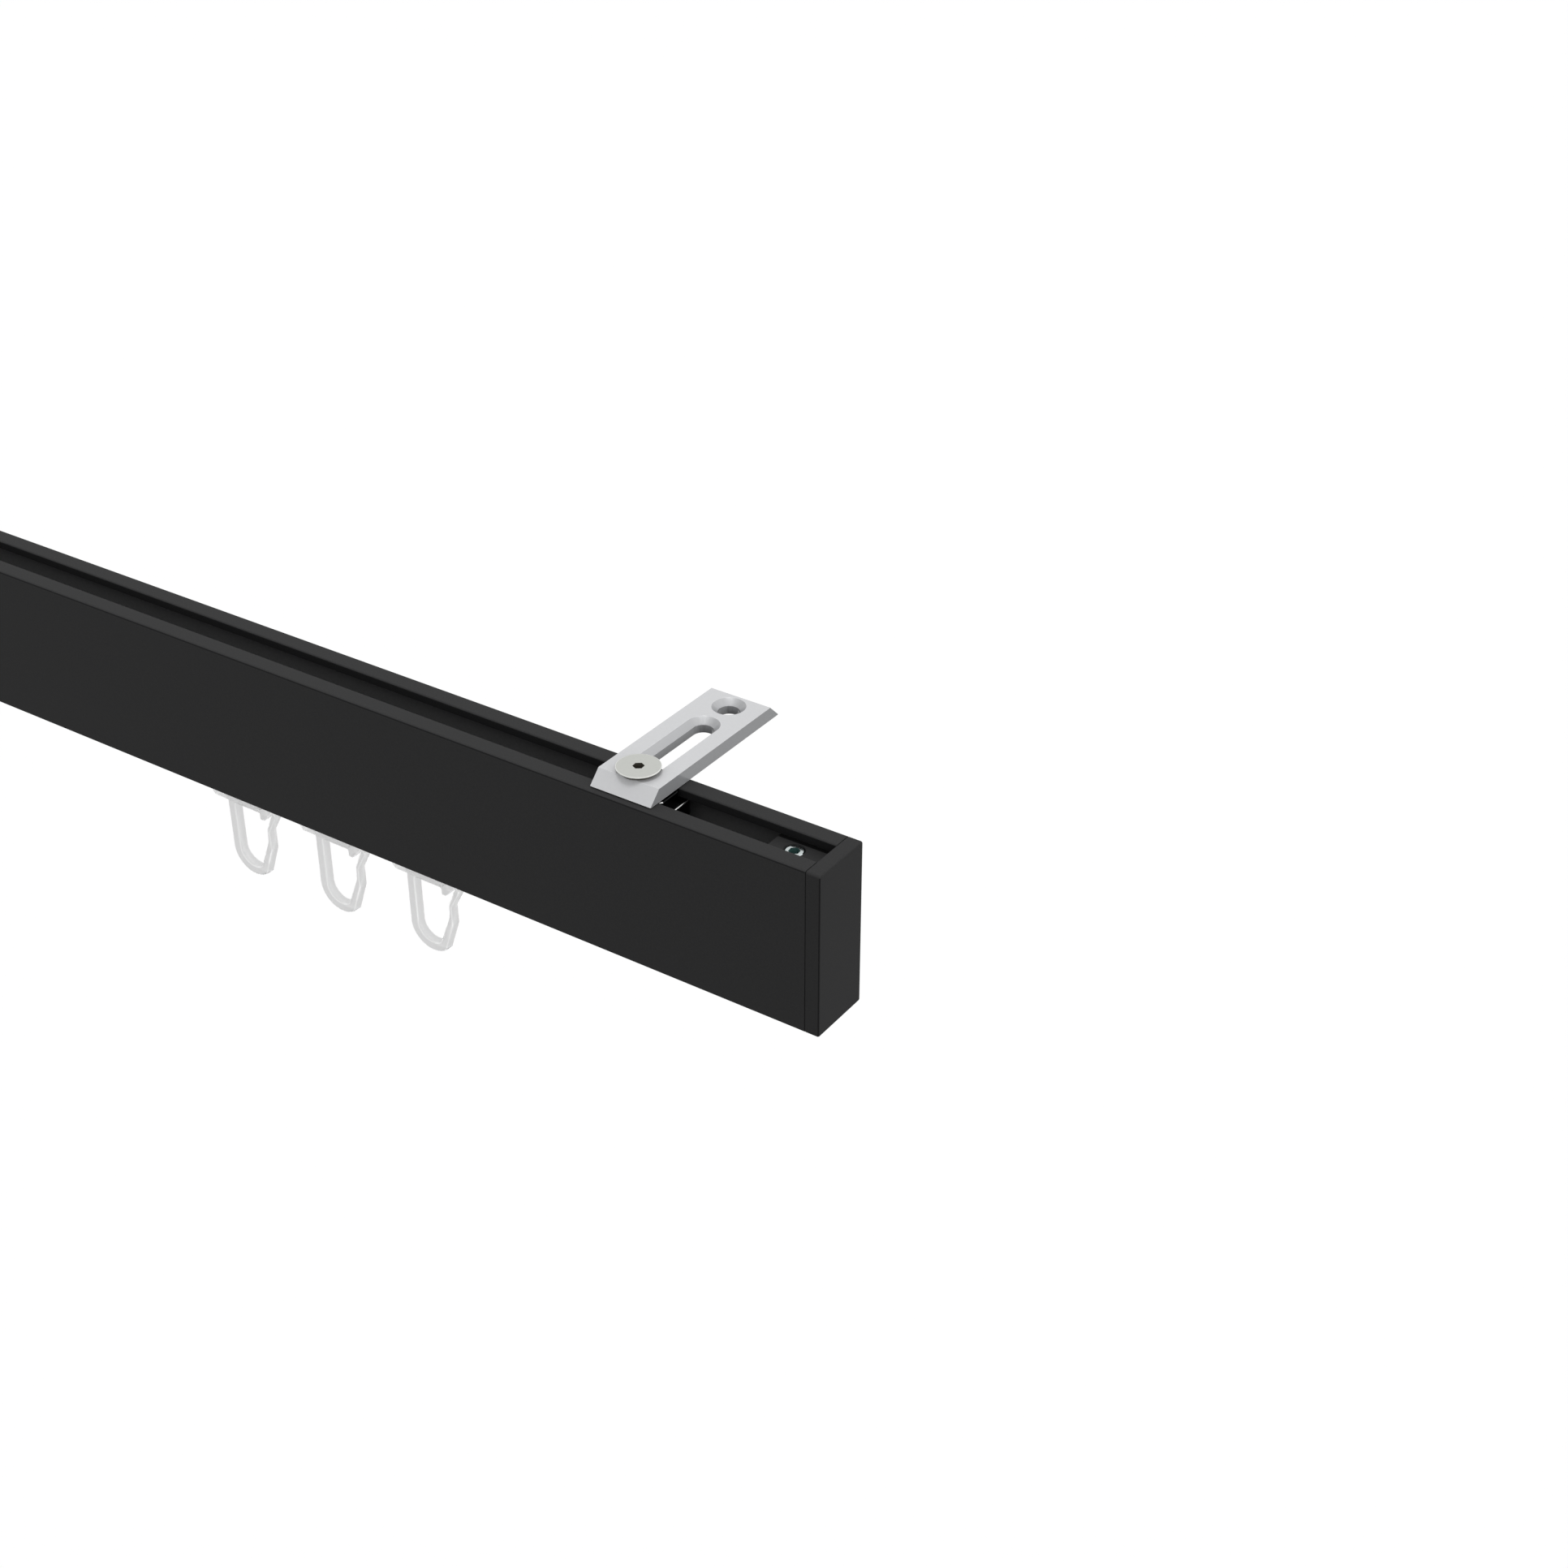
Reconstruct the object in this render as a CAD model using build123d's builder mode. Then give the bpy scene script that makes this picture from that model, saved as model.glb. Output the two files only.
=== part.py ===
"""Curtain rod: a slotted rail with two end caps, two clamped brackets and ten gliders.

Frame: X runs along the rod with 0 at its middle. Y is 0 in the middle of the rail's width
and grows towards the wall. Z is 0 on the rail's top face. All sizes are millimetres.
"""

import os
from math import cos, radians, sin

from build123d import *

# Rod and rail
ROD_LENGTH = 1000.0
RAIL_WIDTH = 14.0
RAIL_HEIGHT = 35.0
OUTER_RADIUS = 0.5
SLOT_WIDTH = 6.2
SLOT_EDGE_RADIUS = 0.4
LIP_THICKNESS = 1.8
SIDE_WALL = 1.5
CHANNEL_DEPTH = 5.2
WEB_THICKNESS = 1.4
CHAMBER_RADIUS = 1.0

# End caps: a cover plate with a tongue in the top channel and another in the bottom channel
CAP_THICKNESS = 3.1
CAP_EDGE_RADIUS = 0.4
TONGUE_LENGTH = 12.0
TONGUE_CLEARANCE = 0.2
TONGUE_LEAD_IN = 0.6

# Threads: M4 everywhere, with one gap between a screw's outside and its hole
THREAD_RADIUS = 2.0
THREAD_CLEARANCE = 0.05
TIP_CHAMFER = 0.4

# Grub screws, which press on the channel floor and force the cap's tongue up under the lips
GRUB_FROM_TONGUE_END = 5.1
GRUB_SETBACK = 0.2
GRUB_SOCKET_FLATS = 2.0
GRUB_SOCKET_DEPTH = 2.2

# Bracket plates, which lie across the rail and reach back past its edge
BRACKET_FROM_END = 44.3
PLATE_WIDTH = 13.8
PLATE_FRONT = 5.8
PLATE_BACK = 35.3
PLATE_THICKNESS = 3.0
BEVEL_LAND = 0.3
FIXING_HOLE_DIAMETER = 4.4
FIXING_HOLE_FROM_BACK = 6.65
SLOT_END_FROM_HOLE = 8.55
SLOT_PLAY = 0.3
COUNTERSINK_DIAMETER = 6.8
COUNTERSINK_ANGLE = 90.0

# Clamp screws, whose countersunk heads stand a little proud of the plates
SCREW_HEAD_DIAMETER = 8.6
SCREW_RIM = 0.1
SCREW_SEAT_GAP = 0.04
SCREW_TIP_SETBACK = 1.2
SCREW_SOCKET_FLATS = 2.0
SCREW_SOCKET_DEPTH = 1.6

# Channel nuts: a flange under the rail's lips and a collar that stands up between them
NUT_LENGTH = 18.0
NUT_SIDE_GAP = 0.3
NUT_FLOOR_GAP = 1.8
NUT_CORNER_RADIUS = 2.6
COLLAR_LENGTH = 14.4
COLLAR_SIDE_GAP = 0.1
COLLAR_SETBACK = 0.2
COLLAR_CORNER_RADIUS = 1.2

# Gliders: where they hang along the rod
GLIDER_PITCH = 25.3
FIRST_GLIDER_FROM_END = 97.7
END_GLIDERS = 3
MIDDLE_GLIDERS = 4

# Gliders: a head that runs in the bottom channel, a neck in the slot and a flange under the rail
HEAD_LENGTH = 13.4
HEAD_TOP_GAP = 2.8
HEAD_SIDE_GAP = 0.4
HEAD_CORNER_RADIUS = 1.6
NECK_SIDE_GAP = 0.35
NECK_INSET = 1.2
FLANGE_GAP = 0.5
FLANGE_WIDTH = 9.5
FLANGE_THICKNESS = 2.5
FLANGE_OVERHANG = 0.2
FLANGE_END_BEVEL = 0.8

# Gliders: the hook. Its depths are measured down from the rail's bottom face, and the places
# along the rod from the middle of its round bottom
HOOK_THICKNESS = 2.2
HOOK_DEPTH = 23.3
HOOK_OUTER_RADIUS = 5.6
LEG_WIDTH = 2.0
BAR_DEPTH = 6.6
BAR_END = 7.1
BAR_END_DEPTH = 5.7
TOOTH_START = 3.55
TOOTH_FLAT = 1.1
TOOTH_DEPTH = 8.2
TOOTH_RADIUS = 0.4
ARM_FOOT_ANGLE = 38.7
ARM_OUTSIDE = ((5.95, -15.2), (5.9, -10.7), (8.5, -5.9))
ARM_INSIDE = ((7.4, -5.2), (5.3, -10.2), (5.1, -13.4))
ARM_BEND_RADIUS = 1.5
ARM_TIP_RADIUS = 0.35


def save(part, label):
    """Label a finished piece and write it to a file of the same name."""
    part.label = label
    export_step(part, f"parts/{label}.step")


def hook_point(place, depth):
    """A point of the hook's outline, from its place along the rod and its depth."""
    return (bend_x + place, depth)


def foot_point(radius):
    """The point where the arm leaves the hook's round bottom, on the given radius."""
    angle = radians(ARM_FOOT_ANGLE)
    return (bend_x + radius * sin(angle), bend_z - radius * cos(angle))


os.makedirs("parts", exist_ok=True)

rail_length = ROD_LENGTH - 2 * CAP_THICKNESS
rail_end = rail_length / 2
channel_width = RAIL_WIDTH - 2 * SIDE_WALL
channel_floor = LIP_THICKNESS + CHANNEL_DEPTH
chamber_height = RAIL_HEIGHT - 2 * (channel_floor + WEB_THICKNESS)
screw_radius = THREAD_RADIUS - THREAD_CLEARANCE
sides = (("left", -1), ("right", 1))


# Rail: one extrusion, with the same slotted channel in its top and in its bottom
with BuildPart() as rail:
    with BuildSketch(Plane.YZ.offset(-rail_end)) as rail_profile:
        with Locations((0, -RAIL_HEIGHT / 2)):
            RectangleRounded(RAIL_WIDTH, RAIL_HEIGHT, OUTER_RADIUS)
            RectangleRounded(channel_width, chamber_height, CHAMBER_RADIUS, mode=Mode.SUBTRACT)
        for face_z, inwards in ((0, -1), (-RAIL_HEIGHT, 1)):
            with Locations((0, face_z + inwards * LIP_THICKNESS / 2)):
                Rectangle(SLOT_WIDTH, LIP_THICKNESS, mode=Mode.SUBTRACT)
            with Locations((0, face_z + inwards * (LIP_THICKNESS + CHANNEL_DEPTH / 2))):
                Rectangle(channel_width, CHANNEL_DEPTH, mode=Mode.SUBTRACT)
        corners_by_height = rail_profile.vertices().group_by(Axis.Y)
        slot_mouths = [
            corner
            for row in (corners_by_height[0], corners_by_height[-1])
            for corner in row.sort_by(lambda vertex: abs(vertex.X))[:2]
        ]
        fillet(slot_mouths, SLOT_EDGE_RADIUS)
    extrude(amount=rail_length)
save(rail.part, "rail")


# End caps: the cover has the rail's outline, and both tongues slide into the channels
tongue_width = channel_width - 2 * TONGUE_CLEARANCE
tongue_height = CHANNEL_DEPTH - 2 * TONGUE_CLEARANCE
top_tongue_z = -LIP_THICKNESS - tongue_height / 2
bottom_tongue_z = -RAIL_HEIGHT + LIP_THICKNESS + TONGUE_CLEARANCE + tongue_height / 2
grub_top = -LIP_THICKNESS - GRUB_SETBACK
grub_length = grub_top + channel_floor

for side_name, side in sides:
    grub_x = side * (rail_end - TONGUE_LENGTH + GRUB_FROM_TONGUE_END)

    with BuildPart() as end_cap:
        with BuildSketch(Plane.YZ.offset(side * rail_end)):
            with Locations((0, -RAIL_HEIGHT / 2)):
                RectangleRounded(RAIL_WIDTH, RAIL_HEIGHT, OUTER_RADIUS)
        extrude(amount=side * CAP_THICKNESS)
        outer_face = end_cap.faces().sort_by(Axis.X)[-1 if side > 0 else 0]
        fillet(outer_face.edges(), CAP_EDGE_RADIUS)
        with BuildSketch(Plane.YZ.offset(side * rail_end)):
            with Locations((0, top_tongue_z), (0, bottom_tongue_z)):
                Rectangle(tongue_width, tongue_height)
        extrude(amount=-side * TONGUE_LENGTH)
        tongue_ends = end_cap.faces().group_by(Axis.X)[0 if side > 0 else -1]
        chamfer(tongue_ends.edges().filter_by(Axis.Z), TONGUE_LEAD_IN)
        with BuildSketch(Plane.XY.offset(-LIP_THICKNESS)):
            with Locations((grub_x, 0)):
                Circle(THREAD_RADIUS)
        extrude(amount=-tongue_height, mode=Mode.SUBTRACT)
    save(end_cap.part, f"{side_name}_end_cap")

    with BuildPart() as grub_screw:
        with BuildSketch(Plane.XY.offset(grub_top)):
            with Locations((grub_x, 0)):
                Circle(screw_radius)
        extrude(amount=-grub_length)
        tip = grub_screw.faces().sort_by(Axis.Z)[0]
        chamfer(tip.edges(), TIP_CHAMFER)
        with BuildSketch(Plane.XY.offset(grub_top)):
            with Locations((grub_x, 0)):
                RegularPolygon(GRUB_SOCKET_FLATS / 2, 6, major_radius=False)
        extrude(amount=-GRUB_SOCKET_DEPTH, mode=Mode.SUBTRACT)
    save(grub_screw.part, f"{side_name}_grub_screw")


# Brackets: a channel nut under the lips, a screw in it and a plate that the screw clamps down
bracket_x = ROD_LENGTH / 2 - BRACKET_FROM_END
nut_width = channel_width - 2 * NUT_SIDE_GAP
nut_thickness = CHANNEL_DEPTH - NUT_FLOOR_GAP
nut_underside = -LIP_THICKNESS - nut_thickness
collar_width = SLOT_WIDTH - 2 * COLLAR_SIDE_GAP

plate_length = PLATE_FRONT + PLATE_BACK
fixing_hole_y = PLATE_BACK - FIXING_HOLE_FROM_BACK
slot_travel = fixing_hole_y - SLOT_END_FROM_HOLE
slot_width = 2 * THREAD_RADIUS + SLOT_PLAY
countersink_depth = (COUNTERSINK_DIAMETER - slot_width) / 2

head_radius = SCREW_HEAD_DIAMETER / 2
head_proud = head_radius - COUNTERSINK_DIAMETER / 2
head_top = PLATE_THICKNESS + head_proud + SCREW_SEAT_GAP + SCREW_RIM
cone_bottom = head_top - SCREW_RIM - (head_radius - screw_radius)
screw_tip = nut_underside + SCREW_TIP_SETBACK

for side_name, side in sides:
    axis_x = side * bracket_x

    with BuildPart() as channel_nut:
        with BuildSketch(Plane.XY.offset(-LIP_THICKNESS)):
            with Locations((axis_x, 0)):
                RectangleRounded(NUT_LENGTH, nut_width, NUT_CORNER_RADIUS)
        extrude(amount=-nut_thickness)
        with BuildSketch(Plane.XY.offset(-LIP_THICKNESS)):
            with Locations((axis_x, 0)):
                RectangleRounded(COLLAR_LENGTH, collar_width, COLLAR_CORNER_RADIUS)
        extrude(amount=LIP_THICKNESS - COLLAR_SETBACK)
        with Locations((axis_x, 0, -COLLAR_SETBACK)):
            Hole(THREAD_RADIUS)
    save(channel_nut.part, f"{side_name}_channel_nut")

    with BuildPart() as bracket_plate:
        with BuildSketch(Plane.XY):
            with Locations((axis_x, PLATE_BACK - plate_length / 2)):
                Rectangle(PLATE_WIDTH, plate_length)
        extrude(amount=PLATE_THICKNESS)
        plate_top = bracket_plate.faces().sort_by(Axis.Z)[-1]
        chamfer(plate_top.edges().filter_by(Axis.X), PLATE_THICKNESS - BEVEL_LAND)
        with BuildSketch(Plane.XY.offset(PLATE_THICKNESS)):
            with Locations((axis_x, slot_travel / 2)):
                SlotCenterToCenter(slot_travel, COUNTERSINK_DIAMETER, rotation=90)
        extrude(amount=-countersink_depth, taper=COUNTERSINK_ANGLE / 2, mode=Mode.SUBTRACT)
        with BuildSketch(Plane.XY.offset(PLATE_THICKNESS)):
            with Locations((axis_x, slot_travel / 2)):
                SlotCenterToCenter(slot_travel, slot_width, rotation=90)
        extrude(amount=-PLATE_THICKNESS, mode=Mode.SUBTRACT)
        with Locations((axis_x, fixing_hole_y, PLATE_THICKNESS)):
            CounterSinkHole(
                FIXING_HOLE_DIAMETER / 2,
                COUNTERSINK_DIAMETER / 2,
                counter_sink_angle=COUNTERSINK_ANGLE,
            )
    save(bracket_plate.part, f"{side_name}_bracket_plate")

    with BuildPart() as clamp_screw:
        with BuildSketch(Plane.XZ):
            with BuildLine():
                Polyline(
                    (axis_x, head_top),
                    (axis_x + head_radius, head_top),
                    (axis_x + head_radius, head_top - SCREW_RIM),
                    (axis_x + screw_radius, cone_bottom),
                    (axis_x + screw_radius, screw_tip + TIP_CHAMFER),
                    (axis_x + screw_radius - TIP_CHAMFER, screw_tip),
                    (axis_x, screw_tip),
                    close=True,
                )
            make_face()
        revolve(axis=Axis((axis_x, 0, 0), (0, 0, 1)))
        with BuildSketch(Plane.XY.offset(head_top)):
            with Locations((axis_x, 0)):
                RegularPolygon(SCREW_SOCKET_FLATS / 2, 6, major_radius=False)
        extrude(amount=-SCREW_SOCKET_DEPTH, mode=Mode.SUBTRACT)
    save(clamp_screw.part, f"{side_name}_clamp_screw")


# Glider: one moulding, modelled at the middle of the rod
head_width = channel_width - 2 * HEAD_SIDE_GAP
head_thickness = CHANNEL_DEPTH - HEAD_TOP_GAP
neck_width = SLOT_WIDTH - 2 * NECK_SIDE_GAP
neck_length = HEAD_LENGTH - 2 * NECK_INSET
flange_length = HEAD_LENGTH + 2 * FLANGE_OVERHANG
flange_middle = -FLANGE_GAP - FLANGE_THICKNESS / 2
rail_underside = Plane.XY.offset(-RAIL_HEIGHT)
hook_plane = Plane((0, 0, -RAIL_HEIGHT), x_dir=(1, 0, 0), z_dir=(0, -1, 0))

leg_outside = -HEAD_LENGTH / 2
leg_inside = leg_outside + LEG_WIDTH
bend_x = leg_outside + HOOK_OUTER_RADIUS
bend_z = HOOK_OUTER_RADIUS - HOOK_DEPTH
outer_foot = foot_point(HOOK_OUTER_RADIUS)
inner_foot = foot_point(HOOK_OUTER_RADIUS - LEG_WIDTH)
arm_outside = [hook_point(place, depth) for place, depth in ARM_OUTSIDE]
arm_inside = [hook_point(place, depth) for place, depth in ARM_INSIDE]
arm_radii = [ARM_BEND_RADIUS] * 2 + [ARM_TIP_RADIUS] * 2 + [ARM_BEND_RADIUS] * 2

with BuildPart() as glider:
    with BuildSketch(hook_plane):
        with BuildLine():
            Line((leg_outside, flange_middle), (leg_outside, bend_z))
            TangentArc((leg_outside, bend_z), outer_foot, tangent=(0, -1))
            FilletPolyline(outer_foot, *arm_outside, *arm_inside, inner_foot, radius=arm_radii)
            TangentArc((leg_inside, bend_z), inner_foot, tangent=(0, -1))
            FilletPolyline(
                (leg_inside, bend_z),
                (leg_inside, -BAR_DEPTH),
                hook_point(TOOTH_START, -BAR_DEPTH),
                hook_point(TOOTH_START, -TOOTH_DEPTH),
                hook_point(TOOTH_START + TOOTH_FLAT, -TOOTH_DEPTH),
                hook_point(BAR_END, -BAR_END_DEPTH),
                hook_point(BAR_END, flange_middle),
                radius=TOOTH_RADIUS,
            )
            Line(hook_point(BAR_END, flange_middle), (leg_outside, flange_middle))
        make_face()
    extrude(amount=HOOK_THICKNESS / 2, both=True)
    with BuildSketch(rail_underside.offset(LIP_THICKNESS)):
        RectangleRounded(HEAD_LENGTH, head_width, HEAD_CORNER_RADIUS)
    extrude(amount=head_thickness)
    with BuildSketch(rail_underside.offset(-FLANGE_GAP)):
        Rectangle(neck_length, neck_width)
    extrude(amount=FLANGE_GAP + LIP_THICKNESS)
    with BuildSketch(hook_plane) as flange_side:
        with Locations((0, flange_middle)):
            Rectangle(flange_length, FLANGE_THICKNESS)
        chamfer(flange_side.vertices().group_by(Axis.Y)[0], FLANGE_END_BEVEL)
    extrude(amount=FLANGE_WIDTH / 2, both=True)

first_glider_x = ROD_LENGTH / 2 - FIRST_GLIDER_FROM_END
end_group = [first_glider_x - step * GLIDER_PITCH for step in range(END_GLIDERS)]
middle_group = [(step - (MIDDLE_GLIDERS - 1) / 2) * GLIDER_PITCH for step in range(MIDDLE_GLIDERS)]
glider_places = sorted([-x for x in end_group] + middle_group + end_group)
for number, glider_x in enumerate(glider_places, start=1):
    save(glider.part.moved(Location((glider_x, 0, 0))), f"glider_{number:02d}")
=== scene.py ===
# %% [markdown]
# # A slotted curtain rod, dressed in Blender
# The solids of the rod come from CAD: a black rail with a slot in its top and one in its bottom, an
# end cap at each end, two clamped bracket plates and ten sliding hooks. This file loads them as a
# fixed frame, softens the edges that a saw, a die or a mould leaves soft, cuts the threads, and
# gives each finish its material. Everything is in metres, with X along the rod, +Y towards the wall
# and Z = 0 on the rail's top face.

# %% Load the frame
import math
import random

import bmesh
import bpy
from mathutils import Matrix, Vector


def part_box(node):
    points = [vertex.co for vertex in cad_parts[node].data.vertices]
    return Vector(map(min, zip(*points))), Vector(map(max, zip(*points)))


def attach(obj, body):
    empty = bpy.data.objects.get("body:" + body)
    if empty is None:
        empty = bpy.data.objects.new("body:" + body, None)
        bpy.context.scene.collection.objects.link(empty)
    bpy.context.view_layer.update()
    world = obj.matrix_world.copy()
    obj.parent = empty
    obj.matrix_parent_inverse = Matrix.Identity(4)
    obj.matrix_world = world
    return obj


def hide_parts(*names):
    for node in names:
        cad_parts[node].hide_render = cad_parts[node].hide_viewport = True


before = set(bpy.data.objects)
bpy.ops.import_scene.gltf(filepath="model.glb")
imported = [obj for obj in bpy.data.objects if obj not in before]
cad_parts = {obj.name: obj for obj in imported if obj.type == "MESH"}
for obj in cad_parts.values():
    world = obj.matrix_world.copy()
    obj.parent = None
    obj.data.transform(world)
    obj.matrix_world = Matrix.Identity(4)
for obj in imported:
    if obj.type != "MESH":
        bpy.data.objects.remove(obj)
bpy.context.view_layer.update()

MM = 0.001

# %% [markdown]
# ## The camera
# The photograph looks at the right end of the rod from its front right and from above. A camera
# could be placed by hand and aimed at the rod, but the edges of the rail, the plate and the hooks
# in the photograph fix it: where it stands, and which way its right, its top and its lens point. It
# is built straight from those fitted numbers. Its focal length was found in pixels, and becomes
# millimetres through the picture's width.

# %% Camera
PICTURE_WIDTH = 1932
FOCAL_PIXELS = 2994.978
SENSOR_WIDTH = 36.0
CLIP_NEAR = 0.02
CLIP_FAR = 30.0
CAMERA_PLACE = Vector((0.690447, -0.300095, 0.233783))
CAMERA_RIGHT = Vector((0.82871, 0.55967, 0.0))
CAMERA_UP = Vector((-0.29314, 0.43405, 0.85186))
CAMERA_AHEAD = Vector((-0.47676, 0.70595, -0.52377))

camera_data = bpy.data.cameras.new("camera")
camera_data.sensor_width = SENSOR_WIDTH
camera_data.lens = FOCAL_PIXELS / PICTURE_WIDTH * SENSOR_WIDTH
camera_data.clip_start = CLIP_NEAR
camera_data.clip_end = CLIP_FAR
camera = bpy.data.objects.new("camera", camera_data)
turn = Matrix((CAMERA_RIGHT, CAMERA_UP, -CAMERA_AHEAD)).transposed()
camera.matrix_world = Matrix.Translation(CAMERA_PLACE) @ turn.to_4x4()
bpy.context.scene.collection.objects.link(camera)
bpy.context.scene.camera = camera
print("lens in mm:", round(camera_data.lens, 2))

# %% [markdown]
# ## Lamps
# The rod lies in soft, even light. Area lamps are the usual softboxes, but near a metre-long object
# they fade towards its ends. A sun lamp with a wide angle is a softbox that is far away, and lights
# the whole rod alike. Most of the light comes from the bright room of the next step, which is why
# the shadow beside a screw's head is soft. One lamp overhead adds what reaches down into the slots,
# and a weaker one beyond the rod's right end lifts the side of the cap.

# %% Lamps
KEY_STRENGTH = 0.78
KEY_ANGLE = math.radians(20)
KEY_FROM = Vector((-0.04, -0.05, 1.0))
SIDE_STRENGTH = 0.58
SIDE_ANGLE = math.radians(50)
SIDE_FROM = Vector((1.0, 0.0, 0.12))


def sun(name, strength, angle, towards):
    """A soft lamp whose light comes from the given direction."""
    data = bpy.data.lights.new(name, "SUN")
    data.energy = strength
    data.angle = angle
    lamp = bpy.data.objects.new(name, data)
    lamp.rotation_mode = "QUATERNION"
    lamp.rotation_quaternion = towards.to_track_quat("Z", "Y")
    bpy.context.scene.collection.objects.link(lamp)


sun("overhead_softbox", KEY_STRENGTH, KEY_ANGLE, KEY_FROM)
sun("side_softbox", SIDE_STRENGTH, SIDE_ANGLE, SIDE_FROM)

# %% [markdown]
# ## The room and the floor
# The photograph's ground is plain white. More lamp light would make it so, but would burn out the
# plates. So the white is kept for the rays that look at it: camera rays, rays through the clear
# nylon, and mirror rays. For them the room has a strength of 1, and the floor is white paper with a
# share of glow. For all other rays the room is a little weaker and the floor is grey, so that
# little light comes back from below. The floor stays a real surface that takes the rod's shadow.
#
# A mirror needs something to show. For mirror rays the room is brightest overhead and beyond the
# rod's right end, and darker to the left and at the horizon, as in a studio with one large window.
# Turned metal gets its light and dark sides from that.
#
# Nodes make the room, the finishes and the modelling trees, so two short helpers come first: one
# for any node with its settings and links, and one for sums.

# %% Node helpers and an empty room
def wire(tree, kind, links=(), **settings):
    """A node with its settings made and its inputs linked to sockets or set to plain values."""
    node = tree.nodes.new(kind)
    for key, value in settings.items():
        setattr(node, key, value)
    for key, source in dict(links).items():
        if isinstance(source, bpy.types.NodeSocket):
            tree.links.new(source, node.inputs[key])
        else:
            node.inputs[key].default_value = source
    return node


def calc(tree, operation, first, second=0.0):
    """The result of a Math node on two sockets or numbers."""
    return wire(tree, "ShaderNodeMath", {0: first, 1: second}, operation=operation).outputs[0]


world = bpy.data.worlds.new("white_room")
world.use_nodes = True
room = world.node_tree
print("an empty room has:", [node.name for node in room.nodes])

# %% The room's light
FILL_LEVEL = 0.75
MIRROR_LEVEL = 1.0
MIRROR_LEVEL_AHEAD = 0.60
MIRROR_LEVEL_LEAST = 0.35
MIRROR_GAIN = (0.60, 0.0, 0.80)
WHITE = (1.0, 1.0, 1.0, 1.0)


def sees_ground(tree, mirror_level=MIRROR_LEVEL):
    """1 for rays that should meet the white ground, and the mirror level for glossy ones."""
    path = wire(tree, "ShaderNodeLightPath").outputs
    seen = calc(tree, "MULTIPLY", path["Is Glossy Ray"], mirror_level)
    for ray in ("Is Camera Ray", "Is Transmission Ray"):
        seen = calc(tree, "MAXIMUM", path[ray], seen)
    return seen


direction = wire(room, "ShaderNodeTexCoord").outputs["Generated"]
towards_window = wire(room, "ShaderNodeVectorMath", {0: direction, 1: MIRROR_GAIN},
                      operation="DOT_PRODUCT").outputs["Value"]
mirrored = wire(room, "ShaderNodeClamp", {
    "Value": calc(room, "ADD", towards_window, MIRROR_LEVEL_AHEAD),
    "Min": MIRROR_LEVEL_LEAST, "Max": MIRROR_LEVEL,
}).outputs[0]
level = calc(room, "MAXIMUM", sees_ground(room, mirrored), FILL_LEVEL)
background = room.nodes["Background"]
background.inputs["Color"].default_value = WHITE
room.links.new(level, background.inputs["Strength"])
bpy.context.scene.world = world
print("room nodes:", len(room.nodes))

# %% The floor
FLOOR_Z = -1.2
FLOOR_HALF = 12.0
FLOOR_CORNERS = ((-1, -1), (1, -1), (1, 1), (-1, 1))
FLOOR_COLOUR = (0.08, 0.08, 0.08, 1.0)
FLOOR_GLOW = 1.0
FLOOR_GLOW_SHARE = 0.85

floor_material = bpy.data.materials.new("floor_paper")
floor_material.use_nodes = True
ground = floor_material.node_tree
ground.nodes.remove(ground.nodes["Principled BSDF"])
seen = sees_ground(ground)
paper_tone = wire(ground, "ShaderNodeMix", {"Factor": seen, "A": FLOOR_COLOUR, "B": WHITE},
                  data_type="RGBA")
paper = wire(ground, "ShaderNodeBsdfDiffuse", {"Color": paper_tone.outputs["Result"]})
glow = wire(ground, "ShaderNodeEmission", {"Strength": FLOOR_GLOW})
surface = wire(ground, "ShaderNodeMixShader", {
    "Fac": calc(ground, "MULTIPLY", seen, FLOOR_GLOW_SHARE),
    1: paper.outputs[0], 2: glow.outputs[0],
})
ground.links.new(surface.outputs[0], ground.nodes["Material Output"].inputs["Surface"])

floor_mesh = bpy.data.meshes.new("floor")
corners = [(x * FLOOR_HALF, y * FLOOR_HALF, FLOOR_Z) for x, y in FLOOR_CORNERS]
floor_mesh.from_pydata(corners, [], [(0, 1, 2, 3)])
floor_mesh.materials.append(floor_material)
floor = bpy.data.objects.new("floor", floor_mesh)
bpy.context.scene.collection.objects.link(floor)
bpy.context.scene.view_settings.view_transform = "Standard"
print("floor at", FLOOR_Z, "m, half width", FLOOR_HALF, "m")

# %% [markdown]
# ## Shared effects
# Three effects return in several finishes. They could be wired anew in each material, but as node
# groups with named sockets they are built once and only their values differ.
#
# *Fine grain* is the irregularity that every real finish has: the tiny peaks of a powder coat, the
# frosting of tumbled metal, the flow marks of a moulding. It is noise on the object's own
# coordinates, so it stays on the surface when a piece moves.
#
# *Soft edge* tints the rounded edges. It reads the attribute "edge", which the meshes below store
# as 1 along their roundings and 0 on their flats, so the tint is as wide as the real rounding. On
# the plates, the clamp screws, the nuts and the hooks the edge colour is paler, a painted
# highlight; on the caps it is darker, a joint line.
#
# *Place window* is 1 between given limits along, beside and in height from the rod's axis. It suits
# the long forms, where the place on the section says which surface it is.

# %% Fine grain
def node_group(name, inputs, outputs):
    """A shader node group with named, typed sockets, and its two end nodes."""
    tree = bpy.data.node_groups.new(name, "ShaderNodeTree")
    for socket_name, value in inputs:
        kind = "NodeSocketColor" if isinstance(value, tuple) else "NodeSocketFloat"
        socket = tree.interface.new_socket(name=socket_name, in_out="INPUT", socket_type=kind)
        socket.default_value = value
    for socket_name, kind in outputs:
        tree.interface.new_socket(name=socket_name, in_out="OUTPUT", socket_type=kind)
    return tree, tree.nodes.new("NodeGroupInput"), tree.nodes.new("NodeGroupOutput")


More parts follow.
